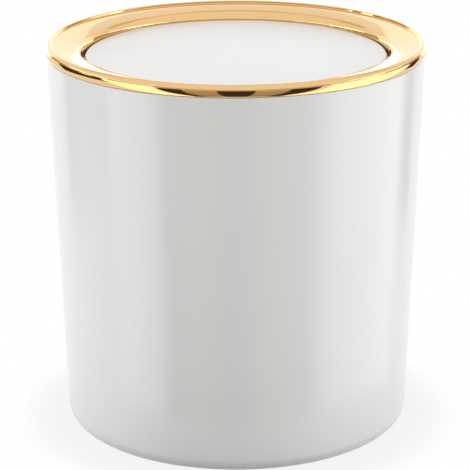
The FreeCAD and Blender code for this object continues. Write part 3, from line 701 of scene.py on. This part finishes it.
def hook_profile(ring, corners):
    """A snap hook's section: a tongue from inside the band down to a nose. The band's underside runs
    from the third last to the second last corner of the ring's outline."""
    catch_z = HOOK_TIP_Z + ring.hook_nose_height
    outer = ring.hook_radius + ring.hook_thickness
    (under_r, under_z), (seat_r, seat_z) = corners[-3:-1]
    rise = (seat_z - under_z) / (seat_r - under_r)
    top_z = under_z + (ring.hook_radius - under_r) * rise + ring.shell / 2
    return [
        (ring.hook_radius, HOOK_TIP_Z),
        (outer, HOOK_TIP_Z),
        (outer + ring.hook_nose, catch_z),
        (outer, catch_z),
        (outer, top_z),
        (ring.hook_radius, top_z),
    ]


def ring_shells(ring, tub):
    """The plated shell, turned about Z, and its snap hooks, the first one midway between X and Y."""
    corners = ring_profile(ring, tub)
    shells = [lathe(trace(corners))]
    middle = (ring.hook_radius + ring.hook_thickness / 2, HOOK_TIP_Z + ring.hook_nose_height / 2)
    hook = extrude(trace(hook_profile(ring, corners)), middle, ring.hook_width)
    for number in range(HOOK_COUNT):
        angle = math.pi / 4 + 2 * math.pi * number / HOOK_COUNT
        shells.append(moved(hook, Matrix.Rotation(angle, 4, "Z")))
    return shells


def panel_shells(panel, ring, tub):
    """The lid's plate and skirt, turned about Z, and its bosses and stop stubs, turned about X."""
    radius = tub.top_radius + ring.overhang - ring.width - panel.gap
    top, bottom = PANEL_HIGH.z, PANEL_LOW.z
    lower = radius - panel.draft
    profile = [
        (0, top - panel.plate),
        (radius - panel.skirt, top - panel.plate),
        (lower - panel.skirt, bottom),
        (lower, bottom, panel.lower_edge),
        (radius, top, panel.edge),
        (0, top),
    ]
    shells = [lathe(trace(profile, closed=False), closed=False)]
    boss = [
        (panel.boss_bore, panel.boss_inner),
        (panel.boss_radius, panel.boss_inner),
        (panel.boss_radius, panel.boss_outer),
        (panel.boss_bore, panel.boss_outer),
    ]
    stub = [
        (0, lower - panel.skirt),
        (panel.stub_radius, lower - panel.skirt),
        (panel.stub_radius, PANEL_HIGH.x),
        (0, PANEL_HIGH.x),
    ]
    for side in (1, -1):
        along = Matrix.Rotation(side * math.pi / 2, 4, "Y")
        at_axis = Matrix.Translation((0, 0, AXIS_Z)) @ along
        at_stub = Matrix.Translation((0, 0, AXIS_Z - panel.stub_arm)) @ along
        shells.append(moved(lathe(trace(boss), SMALL_TURN_STEPS), at_axis))
        shells.append(moved(lathe(trace(stub, closed=False), SMALL_TURN_STEPS, closed=False), at_stub))
    return shells


# Stage


def directly_seen(tree):
    """1 for what the camera, a mirror or a clear thing shows, and 0 for light that falls on matt things."""
    path = add_node(tree, "ShaderNodeLightPath").outputs
    seen = path["Is Camera Ray"]
    for ray in ("Is Glossy Ray", "Is Transmission Ray"):
        either = add_node(tree, "ShaderNodeMath", {"operation": "MAXIMUM"}, {0: seen, 1: path[ray]})
        seen = either.outputs["Value"]
    return seen


def floor_material(colour, near, far, near_white):
    """A pale matt sweep. To the eye it goes over into the white around it between two distances from
    the bin's axis, and it keeps a soft part of the bin's shadow. From below it is clear."""
    material = bpy.data.materials.new("pale_sweep")
    tree = empty_tree(material)
    place = add_node(tree, "ShaderNodeTexCoord").outputs["Object"]
    distance = add_node(tree, "ShaderNodeVectorMath", {"operation": "LENGTH"}, {0: place})
    whiteness = add_node(
        tree,
        "ShaderNodeMapRange",
        {"interpolation_type": "SMOOTHSTEP"},
        {"Value": distance.outputs["Value"], "From Min": near, "From Max": far, "To Min": near_white},
    )
    share = add_node(
        tree,
        "ShaderNodeMath",
        {"operation": "MULTIPLY"},
        {0: directly_seen(tree), 1: whiteness.outputs["Result"]},
    )
    kind, output = NOISE
    grain = add_node(tree, kind, inputs={"Vector": place, "Scale": 1 / (5 * MM)})
    shade = add_node(tree, "ShaderNodeMapRange", inputs={"Value": grain.outputs[output], "To Min": 0.96})
    shaded = {"Value": shade.outputs["Result"], "Color": colour}
    tint = add_node(tree, "ShaderNodeHueSaturation", inputs=shaded)
    matt = add_node(tree, "ShaderNodeBsdfDiffuse", inputs={"Color": tint.outputs["Color"]})
    glow = add_node(tree, "ShaderNodeEmission", inputs={"Strength": 1.0})
    above = add_node(
        tree,
        "ShaderNodeMixShader",
        inputs={0: share.outputs["Value"], 1: matt.outputs["BSDF"], 2: glow.outputs["Emission"]},
    )
    below = add_node(tree, "ShaderNodeNewGeometry").outputs["Backfacing"]
    clear = add_node(tree, "ShaderNodeBsdfTransparent")
    either = add_node(
        tree,
        "ShaderNodeMixShader",
        inputs={0: below, 1: above.outputs["Shader"], 2: clear.outputs["BSDF"]},
    )
    add_node(tree, "ShaderNodeOutputMaterial", inputs={"Surface": either.outputs["Shader"]})
    return material


# Cards that stand round the bin out of the camera's sight and show in the plating, in degrees to the
# right of the camera: dark flags, buff panels between them, a buff strip over both, lit panels at the
# sides and behind, and a straw beam high behind. The rest is white.
DARK_FLAGS = [(-46, -31), (-11, 11), (31, 50)]
SHORT_FLAGS = [(-125, -82), (121, 135)]
BUFF_PANELS = [(-31, -11), (11, 31)]
BUFF_STRIPS = [(-140, 140)]
LIT_PANELS = [(-80, -48), (56, 118)]
BACK_PANELS = [(140, 220)]
BEAMS = [(135, 225)]

# Soft boxes: place, width and height, in metres
LEFT_BOX = ((-1.19, 0.12, 0.2), 1.0, 0.8)
RIGHT_BOX = ((1.19, -0.12, 0.2), 1.0, 0.8)
FRONT_BOX = ((0.0, -1.15, 0.7), 1.2, 0.5)
TOP_BOX = ((0.0, 0.0, 1.1), 0.8, 0.4)

WHITE = (1.0, 1.0, 1.0, 1.0)


def card_material(name, colour, glow=0.0):
    """Matt cloth, a little uneven over 20 mm, or a lit panel where it glows."""
    unevenness = (NOISE, {"Scale": 1 / (20 * MM)})
    return finish(
        name,
        colour,
        tone=unevenness,
        darkest=0.9,
        gloss=unevenness,
        roughness=(0.85, 0.95),
        relief=unevenness,
        depth=0.1 * MM,
        **{"Emission Color": WHITE, "Emission Strength": glow},
    )


def make_cards(name, spans, low, high, distance, material):
    """Cards on an upright cylinder: a point at angle a and height h is (d sin a, -d cos a, h)."""
    shells = []
    for start, end in spans:
        angle = np.radians(np.linspace(start, end, int((end - start) / CARD_STEP) + 1))
        level = np.full(angle.shape, low)
        foot = np.stack([distance * np.sin(angle), -distance * np.cos(angle), level], axis=-1)
        shells.append(patch(foot, foot + [0, 0, high - low], rows=1, wrap=False))
    card = join_shells(name, shells, material)
    card.visible_camera = False
    card.visible_diffuse = False
    card.visible_shadow = False


def make_studio_cards(stage, colours):
    """Hangs the flags, panels, strip and beam round the bin."""
    low, high, distance = stage.card_low, stage.front_high, stage.card_distance
    beam_high = stage.beam_low + stage.beam_depth
    cloth = card_material("dark_cloth", colours.flag)
    buff = card_material("buff_cloth", colours.buff)
    lit = card_material("lit_panel", colours.floor, stage.side_glow)
    straw = card_material("straw_cloth", colours.straw, stage.beam_glow)
    brightest = card_material("brightest_panel", colours.floor, stage.low_glow)
    bright = card_material("bright_panel", colours.floor, stage.glow)
    make_cards("dark_flags", DARK_FLAGS, low, high, distance, cloth)
    make_cards("short_flags", SHORT_FLAGS, -stage.side_drop, stage.side_high, distance, cloth)
    make_cards("buff_panels", BUFF_PANELS, low, high, distance, buff)
    make_cards("buff_strip", BUFF_STRIPS, stage.strip_low, stage.strip_high, stage.strip_distance, buff)
    make_cards("lit_panels", LIT_PANELS, low, stage.lit_high, distance, lit)
    make_cards("beam", BEAMS, stage.beam_low, beam_high, distance, straw)
    make_cards("low_back_panel", BACK_PANELS, 0.0, stage.bright_high, distance, brightest)
    make_cards("back_panel", BACK_PANELS, stage.bright_high, stage.lit_high, distance, bright)


def make_world(stage):
    """White to the eye and in mirrors, and a plain fill on matt things."""
    world = bpy.data.worlds.new("white_studio")
    tree = empty_tree(world)
    seen = {"Value": directly_seen(tree), "To Min": stage.fill, "To Max": 1.0}
    strength = add_node(tree, "ShaderNodeMapRange", inputs=seen)
    white = {"Color": WHITE, "Strength": strength.outputs["Result"]}
    background = add_node(tree, "ShaderNodeBackground", inputs=white)
    add_node(tree, "ShaderNodeOutputWorld", inputs={"Surface": background.outputs["Background"]})
    bpy.context.scene.world = world


def make_lamp(name, place, width, height, brightness, mirrored=True):
    """A soft box that faces the bin. Its power is brightness times pi times its area. One that isn't
    mirrored stays out of the reflections."""
    data = bpy.data.lights.new(name, "AREA")
    data.shape = "RECTANGLE"
    data.size, data.size_y = width, height
    data.energy = brightness * math.pi * width * height
    lamp = bpy.data.objects.new(name, data)
    aim = Vector((0, 0, TUB_HIGH.z / 2)) - Vector(place)
    lamp.matrix_world = Matrix.Translation(place) @ aim.to_track_quat("-Z", "Y").to_matrix().to_4x4()
    lamp.visible_camera = False
    lamp.visible_glossy = mirrored
    bpy.context.scene.collection.objects.link(lamp)


def make_lamps(stage):
    """A soft box at either side, and two fills that the plating doesn't show."""
    make_lamp("left_soft_box", *LEFT_BOX, stage.left_lamp)
    make_lamp("right_soft_box", *RIGHT_BOX, stage.right_lamp)
    make_lamp("front_fill", *FRONT_BOX, stage.front_lamp, mirrored=False)
    make_lamp("top_fill", *TOP_BOX, stage.top_lamp, mirrored=False)


def make_floor(stage, colour):
    """A round sweep: rings of radius R k / n about the origin."""
    radii = stage.floor_radius * np.linspace(0, 1, stage.floor_rings + 1)
    profile = np.stack([radii[::-1], np.zeros_like(radii)], axis=1)
    sweep = floor_material(colour, TUB_HIGH.x, stage.white_from, stage.near_white)
    join_shells("floor", [lathe(profile, closed=False)], sweep)


def make_camera(stage):
    data = bpy.data.cameras.new("camera")
    data.lens = stage.lens
    camera = bpy.data.objects.new("camera", data)
    place = Matrix.Translation((stage.sideways, -stage.back_off, stage.rise))
    tilt = Matrix.Rotation(math.pi / 2 - stage.pitch, 4, "X")
    camera.matrix_world = place @ tilt @ Matrix.Rotation(stage.roll, 4, "Z")
    bpy.context.scene.collection.objects.link(camera)
    bpy.context.scene.camera = camera


# Operators


class TRASH_CAN_OT_tub(Operator):
    """Turns the tub and gives it its white gloss"""

    bl_idname = "trash_can.tub"
    bl_label = "Tub"

    def execute(self, context):
        settings = context.scene.trash_can
        colour = settings.colours.tub
        abs_finish = moulded_gloss_abs("gloss_moulded_abs", colour, TUB_ROUGHNESS, TUB_WAVES)
        shells = tub_shells(settings.tub, settings.pad, settings.ring)
        make_piece("tub", shells, abs_finish, "bin", ["bin_body"])
        return {"FINISHED"}


class TRASH_CAN_OT_pads(Operator):
    """Makes the rubber pads that the tub stands on"""

    bl_idname = "trash_can.pads"
    bl_label = "Foot pads"

    def execute(self, context):
        settings = context.scene.trash_can
        rubber = moulded_rubber(settings.colours.rubber)
        for node in PAD_NODES:
            low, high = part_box(node)
            middle = (low + high) / 2
            shell = moved(pad_shell(settings.pad), Matrix.Translation((middle.x, middle.y, low.z)))
            name = node.replace("foot_pad", "rubber_pad")
            make_piece(name, [shell], rubber, "bin", [node])
        return {"FINISHED"}


class TRASH_CAN_OT_ring(Operator):
    """Turns the plated ring with its snap hooks"""

    bl_idname = "trash_can.ring"
    bl_label = "Plated ring"

    def execute(self, context):
        settings = context.scene.trash_can
        plating = gold_plated_abs(settings.colours.gold)
        shells = ring_shells(settings.ring, settings.tub)
        make_piece("plated_ring", shells, plating, "lid", ["rim_ring"])
        return {"FINISHED"}


class TRASH_CAN_OT_panel(Operator):
    """Turns the swing panel with its bosses and stop stubs"""

    bl_idname = "trash_can.panel"
    bl_label = "Swing panel"

    def execute(self, context):
        settings = context.scene.trash_can
        colour = settings.colours.panel
        abs_finish = moulded_gloss_abs("soft_gloss_moulded_abs", colour, PANEL_ROUGHNESS, PANEL_WAVES)
        shells = panel_shells(settings.panel, settings.ring, settings.tub)
        make_piece("swing_disc", shells, abs_finish, "swing_lid", ["swing_panel"])
        return {"FINISHED"}


class TRASH_CAN_OT_works(Operator):
    """Finishes the frame, cover, pivots, counterweights and screws"""

    bl_idname = "trash_can.works"
    bl_label = "Frame and works"

    def execute(self, context):
        colours = context.scene.trash_can.colours
        dress(["lid_frame", "underside_cover"], satin_abs(colours.frame))
        dress(["pivot_pin_left", "pivot_pin_right"], turned_steel(colours.steel))
        dress(["pivot_bush_left", "pivot_bush_right"], natural_acetal(colours.acetal))
        plated = [name for name in frame["nodes"] if name.startswith(("counterweight", "cover_screw"))]
        dress(plated, zinc_plated_steel(colours.zinc))
        return {"FINISHED"}


class TRASH_CAN_OT_stage(Operator):
    """Sets up the floor, the studio light and the camera"""

    bl_idname = "trash_can.stage"
    bl_label = "Stage"

    def execute(self, context):
        settings = context.scene.trash_can
        stage, colours = settings.stage, settings.colours
        make_floor(stage, colours.floor)
        make_studio_cards(stage, colours)
        make_world(stage)
        make_lamps(stage)
        make_camera(stage)
        context.scene.view_settings.view_transform = "Standard"
        return {"FINISHED"}


OPERATORS = [
    TRASH_CAN_OT_tub,
    TRASH_CAN_OT_pads,
    TRASH_CAN_OT_ring,
    TRASH_CAN_OT_panel,
    TRASH_CAN_OT_works,
    TRASH_CAN_OT_stage,
]


class TRASH_CAN_PT_sidebar(Panel):
    """Lists the steps that dress the trash can"""

    bl_idname = "TRASH_CAN_PT_sidebar"
    bl_label = "Trash can"
    bl_space_type = "VIEW_3D"
    bl_region_type = "UI"
    bl_category = "Trash can"

    def draw(self, context):
        for operator in OPERATORS:
            self.layout.operator(operator.bl_idname)


GROUPS = [TubSizes, PadSizes, RingSizes, PanelSizes, Colours, StageSettings, TrashCanSettings]
CLASSES = GROUPS + OPERATORS + [TRASH_CAN_PT_sidebar]


def register():
    for each in CLASSES:
        bpy.utils.register_class(each)
    bpy.types.Scene.trash_can = PointerProperty(type=TrashCanSettings)


def unregister():
    del bpy.types.Scene.trash_can
    for each in reversed(CLASSES):
        bpy.utils.unregister_class(each)


def main():
    register()
    bpy.ops.trash_can.tub()
    bpy.ops.trash_can.pads()
    bpy.ops.trash_can.ring()
    bpy.ops.trash_can.panel()
    bpy.ops.trash_can.works()
    bpy.ops.trash_can.stage()
    bpy.context.view_layer.update()


if __name__ == "__main__":
    main()
